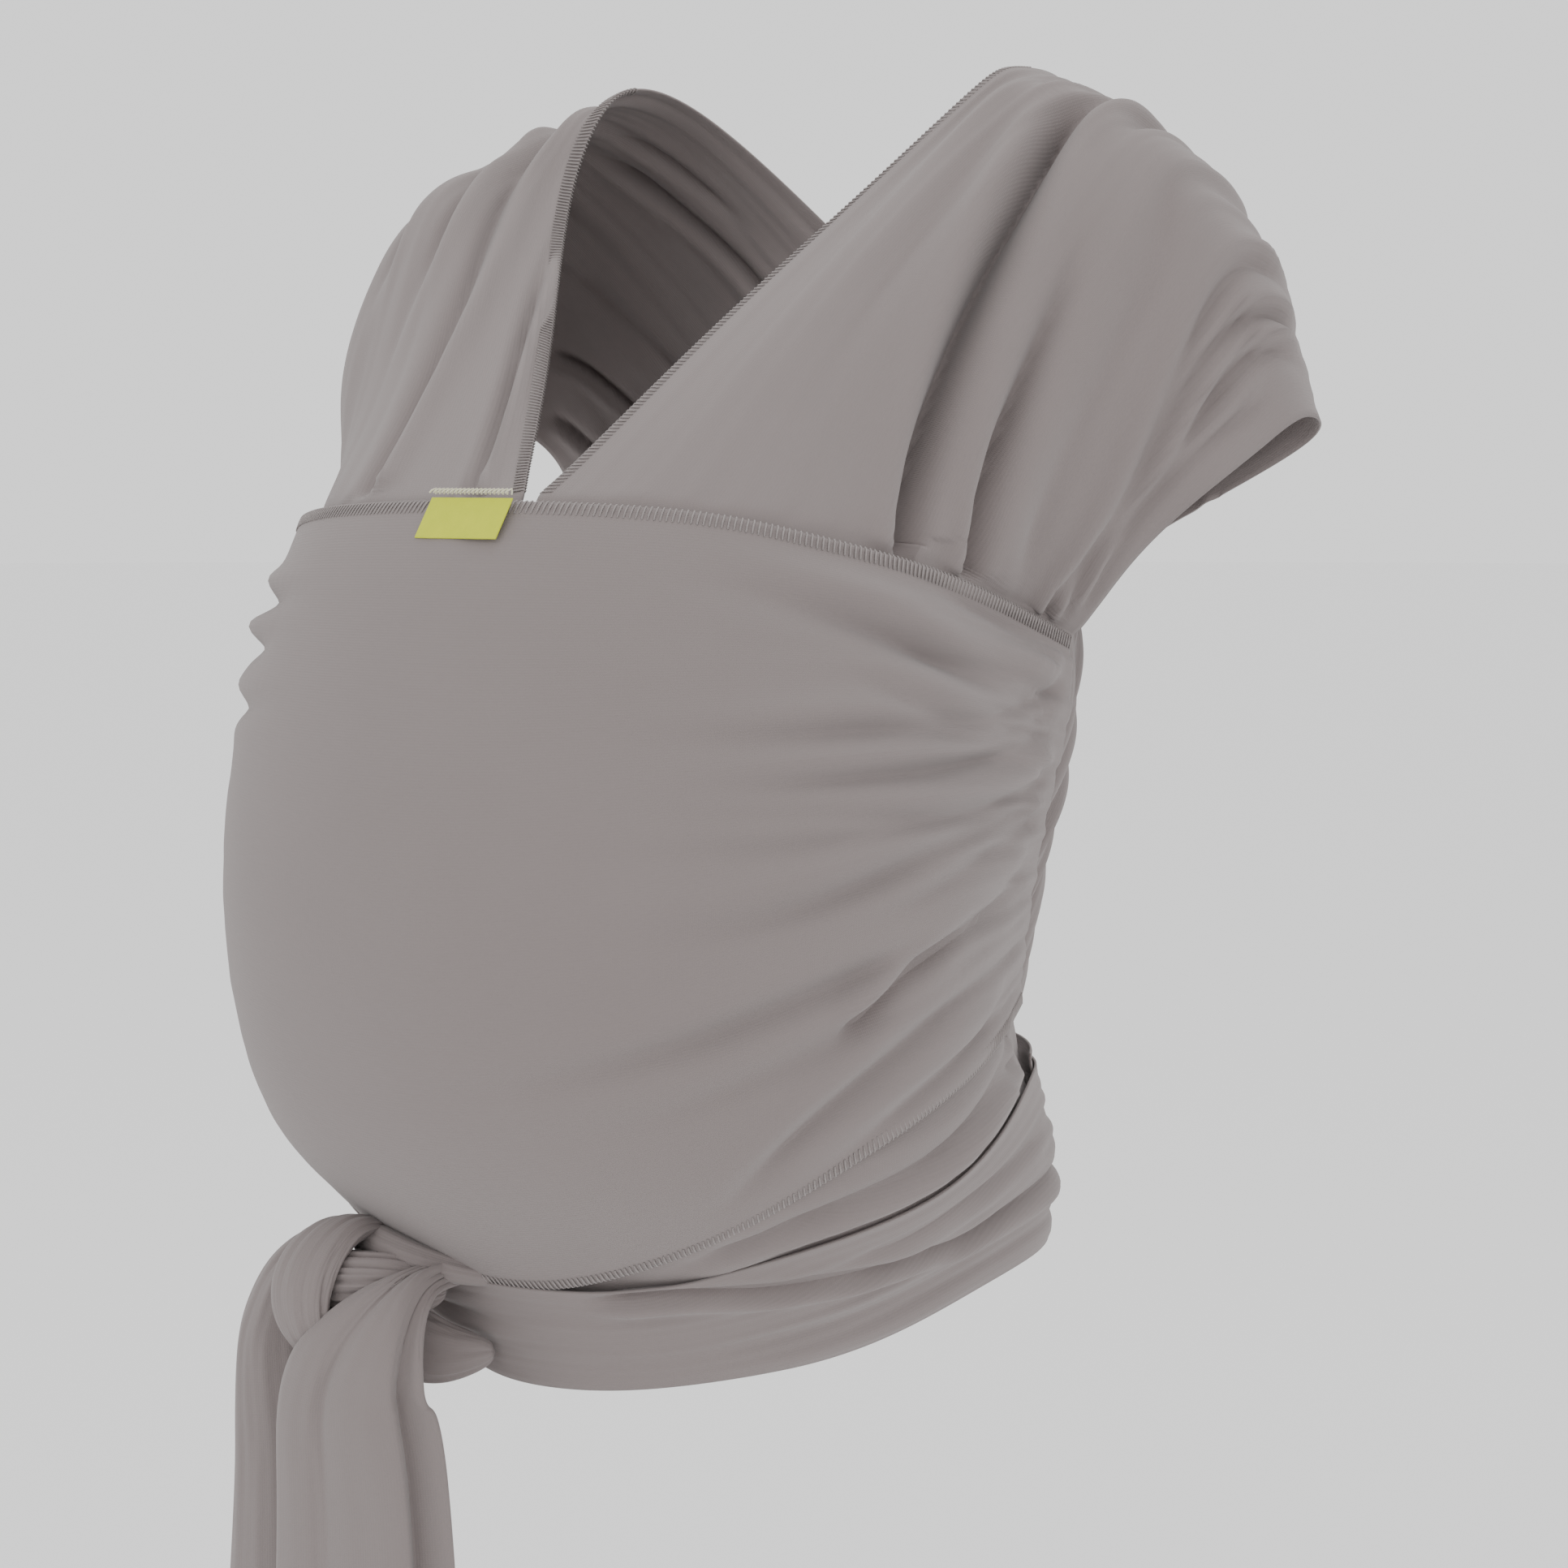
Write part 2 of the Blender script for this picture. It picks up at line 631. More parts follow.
@dataclass
class BandPass:
    """A pass of the cloth that lies on the trunk.

    Attributes:
        name: the piece's name.
        node: the CAD node that it stands for.
        rows: angle round the body, bottom height and top height, along the pass.
        layer: the layer of cloth that it is in.
        size: points along and across.
        folds: its creases, in angle and height.
        gathers: its ripples.
        flat: the cloth that it takes, in metres.
        rests_on: what it lies on.
        swell: how far its lower part stands out, at each of the rows.
    """

    name: str
    node: str
    rows: tuple[Row, ...]
    layer: float
    size: tuple[int, int]
    folds: tuple[Fold, ...] = ()
    gathers: tuple[Gathers, ...] = ()
    flat: tuple[float, float] = (0.4, 0.5)
    rests_on: tuple[str, ...] = ()
    swell: tuple[float, ...] = ()

    def base(self, trunk: Trunk) -> np.ndarray:
        """The smooth surface before folds."""
        along, across = self.size
        stations = spline(self.rows, np.linspace(0, len(self.rows) - 1, along))
        share = np.linspace(0, 1, across)[None, :]
        heights = stations[:, 1:2] + (stations[:, 2:3] - stations[:, 1:2]) * share
        middle = self.layer + 1.0 / trunk.layer
        return trunk.points(stations[:, :1] + 0 * share, heights, middle)

    def grid(self, trunk: Trunk) -> np.ndarray:
        """The surface with its folds and ripples."""
        base = self.base(trunk)
        out = normals(base)
        along, across = (np.linspace(0, 1, n) for n in self.size)
        lift = np.zeros(self.size)
        for fold in self.folds:
            lift += fold.lift(base, out, lambda p: trunk.points(p[0], p[1], self.layer))
        for gather in self.gathers:
            lift += gather.lift(along[:, None], across[None, :])
        lift = self.tamed(lift)
        if self.swell:
            stand = spline(self.swell, np.linspace(0, len(self.swell) - 1, self.size[0]))
            lift += stand[:, None] * (1 - smooth_step(0.55, 0.85, across))[None, :]
        return base + out * lift[..., None]

    def tamed(self, lift: np.ndarray) -> np.ndarray:
        """The lift, flattened towards the raw edges and kept within the room between layers."""
        along, across = np.linspace(0, 1, self.size[0])[:, None], np.linspace(0, 1, self.size[1])[None, :]
        inside = smooth_step(0, 0.06, across) * smooth_step(0, 0.06, 1 - across)
        return lift * (0.35 + 0.65 * inside * smooth_step(0, 0.05, along) * smooth_step(0, 0.05, 1 - along))

    def build(self, shop: Workshop, trunk: Trunk) -> np.ndarray:
        """Make the piece and return its surface."""
        grid = self.grid(trunk)
        piece = shop.sheet(self.name, grid)
        shop.place(piece, Body.WRAP, "jersey", (self.node,))
        list(self.rests_on)
        return grid


def panel() -> BandPass:
    """The pass over the baby, smooth in front and drawn together under each arm."""
    creases = (
        Fold(((32, 364), (51, 350), (66, 332), (82, 314), (106, 305)), 7.0, 7.0, 0.9, -1, 0.45, 0.12),
        Fold(((52, 325), (66, 307), (80, 299), (96, 302), (110, 309)), 6.5, 6.0, 0.8, -1, 0.4, 0.1),
        Fold(((26, 292), (44, 296), (62, 297), (82, 290), (108, 298)), 5.0, 5.5, 0.7, -1, 0.5, 0.1),
        Fold(((34, 272), (50, 277), (74, 279), (108, 288)), 4.5, 5.0, 0.7, -1, 0.5, 0.1),
        Fold(((28, 259), (55, 262), (79, 259), (108, 272)), 4.5, 5.0, 0.7, -1, 0.5, 0.1),
        Fold(((18, 247), (45, 249), (68, 256), (92, 260), (110, 266)), 4.5, 5.0, 0.8, -1, 0.5, 0.1),
        Fold(((20, 211), (41, 218), (61, 237), (79, 247), (108, 256)), 6.0, 6.5, 0.8, -1, 0.5, 0.1),
        Fold(((48, 205), (64, 222), (84, 238), (109, 246)), 3.5, 5.0, 0.8, -1, 0.5, 0.1),
        Fold(((-10, 128), (18, 148), (36, 168), (55, 192), (80, 208), (104, 222)), 5.5, 7.0, 0.7, -1,
             0.5, 0.1),
        Fold(((14, 116), (34, 138), (48, 158), (66, 182), (90, 200)), 3.5, 7.0, 0.7, -1, 0.5, 0.2),
        Fold(((52, 166), (58, 179), (66, 195), (78, 206)), 8.0, 4.5, 0.8, -1, 0.3, 0.35),
        Fold(((38, 84), (47, 118), (57, 147), (70, 170), (88, 184)), 5.5, 6.0, 0.7, -1, 0.3, 0.3),
        Fold(((50, 100), (62, 128), (76, 148), (96, 166)), 4.0, 6.0, 0.7, -1, 0.4, 0.2),
        Fold(((66, 100), (82, 122), (104, 146)), 3.0, 5.0, 0.7, -1, 0.4, 0.1),
        Fold(((60, 372), (78, 352), (94, 333), (108, 318)), 2.5, 5.0, 0.6, 1, 0.4, 0.1))
    far = tuple(Fold(tuple((-a, z) for a, z in line), depth, 5.0, 0.9, 1, 0.36, 0.1) for line, depth in (
        (((20, 350), (42, 347), (62, 340), (80, 325), (106, 305)), 6.5),
        (((26, 328), (42, 325), (60, 316), (80, 306), (108, 298)), 8.0),
        (((16, 303), (42, 298), (62, 294), (84, 288), (108, 288)), 6.0),
        (((38, 264), (62, 262), (84, 264), (108, 272)), 2.5),
        (((58, 226), (80, 244), (108, 256)), 3.0), (((60, 180), (82, 208), (106, 232)), 3.0)))
    ripples = (Gathers(9, 1.7, ((0, 1), (0.12, 0.8), (0.24, 0.15), (0.4, 0.0), (0.6, 0.05), (0.76, 0.3),
                                (0.86, 1.0), (1, 1.3)), 0.5, 11),)
    return BandPass("panel_cloth", "front_panel", (
        (-112, 136, 331), (-90, 106, 350), (-60, 74, 376), (-36, 56, 389), (-12, 44, 394), (12, 44, 395),
        (36, 68, 391), (52, 100, 381), (70, 130, 367), (90, 147, 350), (112, 158, 331)), 2.3, (320, 150),
        creases + far, ripples, (0.31, 0.78), ("front_cross_to_left_hip", "front_cross_to_right_hip"))


CROSS_ROWS = (
    (-92, 232, 306), (-66, 165, 312), (-40, 100, 285), (-12, 42, 225), (15, 30, 170),
    (45, 26, 145), (75, 36, 165), (100, 50, 176), (124, 62, 150), (146, 60, 112))


def crosses() -> tuple[BandPass, ...]:
    """The two passes that cross under the panel on their way to the hips."""
    mirrored = tuple((-a, low, high) for a, low, high in reversed(CROSS_ROWS))
    rolled = (
        Fold(((30, 54), (45, 78), (60, 97), (84, 118), (108, 128), (122, 130)), 4.5, 4.0, 0.9, 1, 0.2, 0.1),
        Fold(((58, 92), (76, 112), (96, 130), (118, 144)), 2.5, 4.0, 0.8, 1, 0.4, 0.1),
        Fold(((40, 58), (60, 80), (84, 100), (110, 112)), 2.5, 5.0, 0.8, -1, 0.3, 0.1))
    return (
        BandPass("cross_to_left_hip_cloth", "front_cross_to_left_hip", CROSS_ROWS, 0.6, (220, 60), rolled,
                 (Gathers(5, 1.0, ((0, 0.6), (0.5, 0.5), (1, 0.9)), 0.7, 5),), (0.18, 0.72),
                 swell=(0, 0, 0, 0, 0.5, 5.0, 6.5, 6.0, 4.0, 1.0)),
        BandPass("cross_to_right_hip_cloth", "front_cross_to_right_hip", mirrored, 1.3, (220, 60), (),
                 (Gathers(5, 0.8, ((0, 1.2), (0.5, 0.5), (1, 0.6)), 0.7, 6),), (0.17, 0.72)))


def waist_passes() -> tuple[BandPass, ...]:
    """The passes round the waist, from each hip round the back to the knot."""
    front_folds = (
        Fold(((14, 38), (36, 46), (64, 52), (92, 58), (122, 66), (150, 72)), 5.5, 3.5, 0.9, 1, 0.12, 0.2),
        Fold(((30, 12), (56, 22), (84, 34), (104, 46)), 2.2, 8.0, 0.8, 1, 0.4, 0.4),
        Fold(((56, 60), (80, 74), (104, 84), (126, 92)), 3.0, 4.0, 0.8, 1, 0.3, 0.2),
        Fold(((-34, 30), (-20, 26), (-8, 25), (12, 26)), 3.5, 3.5, 0.9, -1, 0.1, 0.7),
        Fold(((-34, 24), (-20, 16), (-8, 12), (6, 12)), 3.5, 3.5, 0.9, -1, 0.1, 0.7))
    return (
        BandPass("waist_pass_inner_cloth", "waist_pass_inner", (
            (130, 58, 126), (146, 52, 128), (180, 40, 126), (220, 26, 112), (250, 14, 96),
            (280, 6, 76), (300, 4, 60), (312, 4, 50), (318, 6, 46)), 2.2, (260, 40), (),
            (Gathers(5, 1.2, ((0, 1), (0.5, 0.8), (1, 1.2)), 0.7, 8),), (0.09, 0.52),
            ("back_pass_from_left_shoulder",)),
        BandPass("waist_pass_outer_cloth", "waist_pass_outer", (
            (-34, 18, 39), (-27, 10, 41), (-16, 0, 42), (-4, -6, 42), (14, -6, 43), (32, -2, 49), (52,
            4, 66),
            (75, 11, 86), (100, 24, 106), (124, 34, 118), (146, 34, 120), (180, 34, 124), (220, 44, 130),
            (246, 52, 130)), 2.7, (360, 72),
            front_folds, (Gathers(4, 1.0, ((0, 1.3), (0.1, 0.3), (0.4, 0.35), (0.5, 1), (0.6, 1.3), (1,
            1)), 0.7, 9),),
            (0.08, 0.8), ("waist_pass_inner",), (1.0, *(2.0,) * 13)))


@dataclass
class ShoulderPass:
    """A pass from the hem, up over one shoulder and down across the back to the far underarm.

    Places on it are given as the row, from 0 at the tuck to 14 at the underarm, and the share across, from
    0 at the neck edge to 1 at the arm edge.
    """

    side: Side
    hem: tuple[Row, ...]
    chest: tuple[tuple[Row, ...], ...]
    top: tuple[Row, ...]
    front_layer: float
    back_layer: float
    folds: tuple[Fold, ...]
    gathers: tuple[Gathers, ...]
    tuck: float = 34.0
    size: tuple[int, int] = (420, 104)
    rear: tuple[tuple[Row, ...], ...] = (
        ((108, 82, 592), (140, 91, 572), (176, 98, 540), (213, 106, 495), (232, 112, 421)),
        ((76, 105, 560), (101, 112, 527), (129, 113, 487), (157, 106, 442), (186, 88, 390)))
    back: tuple[tuple[Row, ...], ...] = (
        ((165, 533), (158, 498), (151, 457), (143, 412), (134, 361)),
        ((175, 505), (169, 467), (163, 425), (157, 382), (152, 334)),
        ((199, 440), (195, 402), (190, 352), (185, 304), (180, 258)),
        ((226, 378), (225, 335), (223, 290), (221, 242), (219, 194)),
        ((246, 331), (246, 284), (246, 236), (246, 187), (246, 138)))

    def rows(self, trunk: Trunk) -> np.ndarray:
        """The rows of points that the pass runs through."""
        sign = self.side.value
        rear = [[(sign * x, y, z) for x, y, z in row] for row in self.rear]
        hem = np.array(self.hem, float)
        tucked = [trunk.points(hem[:, 0], hem[:, 1] - self.tuck * part, self.front_layer)
                  for part in (1.0, 0.5, 0.0)]
        leaving = tucked[-1] + 0.2 * (np.array(self.chest[0]) - tucked[-1])
        back = np.array(self.back, float)
        crossing = [trunk.points(sign * row[:, 0], row[:, 1], self.back_layer) for row in back]
        return np.array([*tucked, leaving, *self.chest, self.top, *rear, *crossing])

    def build(self, shop: Workshop, trunk: Trunk) -> np.ndarray:
        """Make the piece and return its surface, from the neck edge outwards."""
        rows = self.rows(trunk)
        base = net(rows, *self.size)
        out = normals(base) * -self.side.value
        last = len(rows) - 1

        def place(spot: Row) -> np.ndarray:
            """Point of the smooth surface at a row and a share across."""
            i = spot[0] / last * (self.size[0] - 1)
            j = spot[1] * (self.size[1] - 1)
            return base[int(round(i)), int(round(j))]

        along, across = np.linspace(0, 1, self.size[0])[:, None], np.linspace(0, 1, self.size[1])[None, :]
        lift = np.zeros(self.size)
        for fold in self.folds:
            lift += fold.lift(base, out, place)
        for gather in self.gathers:
            lift += gather.lift(along, across)
        tucked = smooth_step(1.6 / last, 2.6 / last, along)
        room = 0.15 + 0.85 * tucked
        hem = 0.25 + 0.75 * smooth_step(0, 0.05, across) * smooth_step(0, 0.05, 1 - across)
        grid = base + out * (1.0 + lift * room * hem)[..., None]
        name = self.side.name.lower()
        piece = shop.sheet(f"{name}_shoulder_cloth", grid)
        shop.place(piece, Body.WRAP, "jersey",
                   (f"{name}_shoulder_strap", f"back_pass_from_{name}_shoulder"))
        return grid


def left_shoulder() -> ShoulderPass:
    """The pass over the left shoulder, spread to a cap sleeve, with deep folds down the chest."""
    folds = (
        Fold(((7.0, 0.27), (6.0, 0.27), (5.0, 0.30), (4.2, 0.33), (3.0, 0.36)), 3.5, 8.0, 0.8, 1, 0.25, 0.4),
        Fold(((7.4, 0.36), (6.4, 0.37), (5.2, 0.43), (4.2, 0.51), (3.0, 0.56), (2.0, 0.59)), 27.0, 7.0,
             0.22, 1,
             0.3, 0.05),
        Fold(((5.4, 0.57), (4.4, 0.63), (3.6, 0.67), (2.0, 0.70)), 17.0, 5.5, 0.3, 1, 0.6, 0.05),
        Fold(((6.6, 0.62), (5.2, 0.72), (4.0, 0.78), (2.6, 0.82)), 4.0, 8.0, 0.8, 1, 0.4, 0.2),
        Fold(((7.8, 0.46), (6.8, 0.50), (5.8, 0.55)), 4.0, 6.0, 0.8, 1, 0.4, 0.5),
        Fold(((7.8, 0.22), (7.0, 0.18), (6.0, 0.16)), 3.0, 6.0, 0.8, 1, 0.4, 0.5),
        Fold(((7.6, 0.83), (6.4, 0.83), (4.8, 0.86), (3.4, 0.90), (2.4, 0.91)), 5.0, 4.5, 0.9, 1, 0.15, 0.1),
        Fold(((7.6, 0.88), (6.2, 0.87), (4.9, 0.885), (3.6, 0.91)), 4.5, 3.5, 0.9, 1, 0.15, 0.2),
        Fold(((7.4, 0.93), (6.2, 0.915), (5.0, 0.92), (3.8, 0.93), (2.6, 0.95)), 5.0, 4.0, 0.9, 1,
             0.15, 0.1),
        Fold(((6.4, 0.965), (5.3, 0.95), (4.2, 0.955), (3.0, 0.975)), 4.0, 3.5, 0.9, 1, 0.2, 0.1))
    gathers = (
        Gathers(10, 0.9, ((0, 0.4), (0.16, 0.5), (0.3, 0.3), (0.5, 1.2), (0.6, 1.6), (0.8, 2.0), (1,
                2.4)), 0.7, 21),
        Gathers(5, 1.3, ((0, 0.3), (0.25, 0.4), (0.45, 1.0), (0.55, 1.8), (1, 1.6)), 0.9, 22))
    return ShoulderPass(
        Side.LEFT, ((14, 395), (36, 393), (60, 377), (89, 354), (118, 330)), (
            ((58, -127, 470), (112, -134, 462), (156, -98, 446), (188, -48, 414), (198, 10, 368)),
            ((82, -45, 534), (130, -54, 534), (175, -36, 520), (212, -4, 480), (227, 24, 398)),
            ((112, 4, 584), (143, -4, 574), (182, 2, 556), (222, 22, 516), (242, 52, 420))),
        ((114, 38, 597), (147, 36, 586), (185, 40, 568), (225, 52, 524), (249, 80, 433)),
        1.2, 3.7, folds, gathers)


def right_shoulder() -> ShoulderPass:
    """The pass over the right shoulder, narrower folds down the chest and long ones inside the back."""
    folds = (
        Fold(((7.4, 0.50), (6.4, 0.42), (5.4, 0.37), (4.6, 0.37), (3.8, 0.42)), 6.5, 5.0, 0.8, -1,
             0.15, 0.4),
        Fold(((7.6, 0.30), (6.6, 0.26), (5.4, 0.22), (4.4, 0.22), (3.4, 0.25), (2.2, 0.26)), 8.0, 5.5,
             0.6, -1,
             0.25, 0.08),
        Fold(((5.2, 0.02), (4.2, 0.055), (3.2, 0.07), (2.0, 0.075)), 6.5, 3.0, 0.7, -1, 0.3, 0.05),
        Fold(((7.6, 0.64), (6.4, 0.58), (5.0, 0.55), (4.0, 0.58)), 5.5, 5.5, 0.8, -1, 0.2, 0.4),
        Fold(((7.4, 0.78), (6.2, 0.76), (5.0, 0.76), (4.0, 0.78)), 4.5, 5.0, 0.8, -1, 0.2, 0.4),
        Fold(((7.4, 0.28), (8.2, 0.24), (9.2, 0.21)), -4.5, 3.0, 0.5, -1, 0.3, 0.4),
        Fold(((7.5, 0.38), (8.4, 0.34), (9.4, 0.31), (10.6, 0.32)), -8.0, 4.0, 0.5, -1, 0.2, 0.3),
        Fold(((7.7, 0.71), (8.3, 0.68), (9.0, 0.65), (10.0, 0.64)), -5.0, 6.5, 0.6, -1, 0.3, 0.4),
        Fold(((7.8, 0.86), (8.3, 0.82), (8.9, 0.78), (9.8, 0.76)), -7.0, 3.2, 0.5, -1, 0.2, 0.3),
        Fold(((7.8, 0.95), (8.6, 0.90), (9.6, 0.87)), -6.0, 3.0, 0.5, -1, 0.2, 0.3))
    gathers = (
        Gathers(9, 0.9, ((0, 0.3), (0.28, 0.3), (0.42, 0.9), (0.52, 1.6), (0.58, 0.6), (0.8, 1.4), (1,
                2.2)), 0.5, 31),
        Gathers(5, 1.3, ((0, 0.2), (0.3, 0.3), (0.5, 1.3), (0.6, 0.3), (1, 1.6)), 0.6, 32))
    return ShoulderPass(
        Side.RIGHT, ((11, 396), (-22, 392), (-52, 382), (-78, 360), (-104, 342)), (
            ((-27, -140, 456), (-90, -146, 462), (-150, -126, 455), (-195, -90, 440), (-200, 10, 368)),
            ((-91, -50, 522), (-132, -66, 532), (-176, -60, 532), (-210, -38, 500), (-229, 24, 398)),
            ((-117, 0, 570), (-142, -8, 568), (-180, -6, 556), (-218, 10, 520), (-244, 52, 420))),
        ((-119, 38, 600), (-147, 36, 586), (-184, 40, 568), (-222, 52, 526), (-249, 80, 433)),
        0.3, 0.7, folds, gathers, rear=(
            ((108, 82, 592), (140, 91, 572), (176, 98, 540), (213, 106, 495), (232, 112, 414)),
            ((76, 105, 560), (101, 112, 527), (129, 113, 487), (158, 106, 438), (188, 88, 374))))


# ---------------------------------------------------------------- knot and tails


@dataclass(frozen=True)
class Bundle:
    """Cloth drawn together into a soft rope with creases along it.

    Attributes:
        name: the piece's name.
        path: its middle line.
        radii: half its width and half its depth at each point of the path.
        side: the way its width runs, before it is squared to the path.
        creases: how many creases run along it.
        depth: how deep they are, as a share of the radius.
        twist: turns of the creases from end to end.
    """

    name: str
    path: tuple[Row, ...]
    radii: tuple[Row, ...]
    side: Row
    creases: int = 7
    depth: float = 0.16
    twist: float = 0.15
    size: tuple[int, int] = (90, 96)
    seed: int = SEED

    def grid(self) -> np.ndarray:
        """Its surface, closed round and drawn to a point at each end."""
        rows, columns = self.size
        at = np.linspace(0, len(self.path) - 1, rows)
        line, radii = spline(self.path, at), spline(self.radii, at)
        way = np.gradient(line, axis=0)
        way /= np.linalg.norm(way, axis=1, keepdims=True)
        side = np.array(self.side, float) - way * (way @ np.array(self.side, float))[:, None]
        side /= np.linalg.norm(side, axis=1, keepdims=True)
        over = np.cross(way, side)
        rng = np.random.default_rng(self.seed)
        turn = np.linspace(0, 2 * math.pi, columns)[None, :]
        share = np.linspace(0, 1, rows)[:, None]
        crease = np.zeros((rows, columns))
        for k in (self.creases, self.creases * 2 - 1, self.creases + 3):
            phase, sway = rng.uniform(0, 2 * math.pi, 2)
            sweep = turn + self.twist * 2 * math.pi * share
            wave = np.sin(k * sweep + phase + 0.5 * np.sin(5 * share + sway))
            crease += (np.abs(wave) ** 0.7) * self.creases / k
        around = 1 + self.depth * (crease / 2 - 0.55)
        ends = np.sqrt(np.clip(1 - (2 * share - 1) ** 16, 0, 1))
        across = (np.cos(turn) * around * ends * radii[:, :1])[..., None] * side[:, None, :]
        up = (np.sin(turn) * around * ends * radii[:, 1:])[..., None] * over[:, None, :]
        return line[:, None, :] + across + up

    def build(self, shop: Workshop, nodes: Sequence[str] = ()) -> bpy.types.Object:
        """Make the piece."""
        grid = self.grid()
        rows, columns = self.size
        points = np.concatenate([grid[:, :-1].reshape(-1, 3), grid[:1].mean(1), grid[-1:].mean(1)])
        width = columns - 1
        index = np.arange(rows * width).reshape(rows, width)
        turned = np.roll(index, -1, axis=1)
        quads = np.stack([index[:-1], turned[:-1], turned[1:], index[1:]], -1).reshape(-1, 4).tolist()
        first, last = rows * width, rows * width + 1
        caps = [[first, b, a] for a, b in zip(index[0].tolist(), turned[0].tolist())]
        caps += [[last, a, b] for a, b in zip(index[-1].tolist(), turned[-1].tolist())]
        mesh = bpy.data.meshes.new(self.name)
        mesh.from_pydata((points * MM).tolist(), [], quads + caps)
        length = np.concatenate([[0], np.cumsum(np.linalg.norm(np.diff(grid.mean(1), axis=0), axis=1))])
        girth = 2 * math.pi * float(np.mean(self.radii))
        places = np.stack(np.broadcast_arrays(length[:, None], np.linspace(0, girth, width)[None]), -1)
        places = np.concatenate([places.reshape(-1, 2), [[0, 0], [length[-1], 0]]]) * MM
        corners = np.empty(len(mesh.loops), dtype=np.int32)
        mesh.loops.foreach_get("vertex_index", corners)
        mesh.uv_layers.new(name="UVMap").data.foreach_set("uv", places[corners].ravel())
        piece = shop.link(self.name, mesh, shop.jersey)
        shop.face_out(piece)
        return shop.place(piece, Body.WRAP, "jersey", nodes)


@dataclass(frozen=True)
class Knot:
    """The knot: cloth from both waist passes, one turn closed over it, and a lobe behind."""

    def build(self, shop: Workshop) -> None:
        """Make its pieces."""
        Bundle("knot_core_cloth", ((-104, -214, 38), (-92, -228, 37), (-74, -236, 37), (-56, -234, 38),
                                   (-42, -226, 38), (-28, -214, 36)),
               ((8, 9), (12, 12), (14, 11), (14, 10), (12, 9), (6, 5)), (0, 0, 1), 7, 0.34, 0.02,
               (130, 120), 41).build(shop, ("knot_core",))
        Bundle("knot_shelf_cloth", ((-86, -206, 52), (-66, -219, 54), (-44, -222, 51), (-20, -214, 46),
                       (4, -200, 42)),
               ((7, 7), (9, 8), (8, 8), (6, 7), (3, 4)), (0, 0, 1), 3, 0.14, 0.02, (90, 72), 44).build(shop)
        Bundle("knot_loop_cloth", ((-72, -204, 54), (-76, -226, 61), (-81, -243, 52), (-83, -252, 36),
                                   (-80, -252, 18), (-76, -240, 4), (-72, -222, 2)),
               ((12, 5), (14, 6), (17, 7), (17, 7), (14, 6), (10, 5), (7, 4)), (1, 0, 0.1), 4, 0.22, 0.03,
               (130, 120), 42).build(shop, ("knot_loop",))
        Bundle("knot_lobe_cloth", ((-60, -224, 18), (-46, -221, 12), (-30, -214, 7), (-10, -202, 8)),
               ((10, 7), (15, 8), (13, 7), (5, 4)), (0, 0, 1), 3, 0.22, 0.1, (60, 72), 43).build(shop)


@dataclass(frozen=True)
class Tail:
    """One end of the cloth, hanging from the knot in soft pleats.

    Attributes:
        side: which tail it is.
        line: X, Y and Z of its middle, from the knot down.
        widths: half its width and half its depth at each point of the line.
        section: its cross-section as shares of those, once round the pleats.
        hinge: heights where it stops following the knot and where it hangs free.
        pivot: X and Y of its hinge.
        slant: how much lower one edge of the end is.
    """

    side: Side
    line: tuple[Row, ...]
    widths: tuple[Row, ...]
    section: tuple[Row, ...]
    hinge: tuple[float, float]
    pivot: tuple[float, float]
    slant: float
    flat: tuple[float, float]
    size: tuple[int, int] = (230, 150)

    def grid(self) -> np.ndarray:
        """Its surface."""
        rows, columns = self.size
        at = np.linspace(0, len(self.line) - 1, rows)
        line, widths = spline(self.line, at), spline(self.widths, at)
        curve = spline(self.section, np.linspace(0, len(self.section) - 1, columns))
        share = np.linspace(0, 1, rows)
        way = np.gradient(line, axis=0)
        way /= np.linalg.norm(way, axis=1, keepdims=True)
        right = np.array([1.0, 0, 0]) - way * way[:, :1]
        right /= np.linalg.norm(right, axis=1, keepdims=True)
        back = np.cross(right, way)
        grid = (line[:, None, :] + curve[None, :, :1] * widths[:, None, :1] * right[:, None, :]
                + curve[None, :, 1:] * widths[:, None, 1:] * back[:, None, :])
        drop = self.slant * (curve[None, :, 0] * 0.5 + 0.5) * (share[:, None] ** 2)
        grid[..., 2] += drop
        ripple = Gathers(6, 1.6, ((0, 1.5), (0.1, 0.7), (0.3, 0.35), (1, 0.25)), 0.8, 50 + self.side.value)
        lift = ripple.lift(share[:, None], np.linspace(0, 1, columns)[None])
        return grid + normals(grid) * lift[..., None]

    def build(self, shop: Workshop) -> None:
        """Make the tail and the stitching on its end."""
        name = f"{self.side.name.lower()}_tail"
        grid = self.grid()
        piece = shop.sheet(f"{name}_cloth", grid)
        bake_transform(piece)
        shop.place(piece, None, "jersey", (name,))
        inward = grid[-8] - grid[-1]
        inward /= np.linalg.norm(inward, axis=1, keepdims=True)
        shop.stitches(f"{name}_stitches", grid[-1], inward, normals(grid)[-1], 2.8, 5.0,
                      Body(name), (f"{name}_hem_thread",))


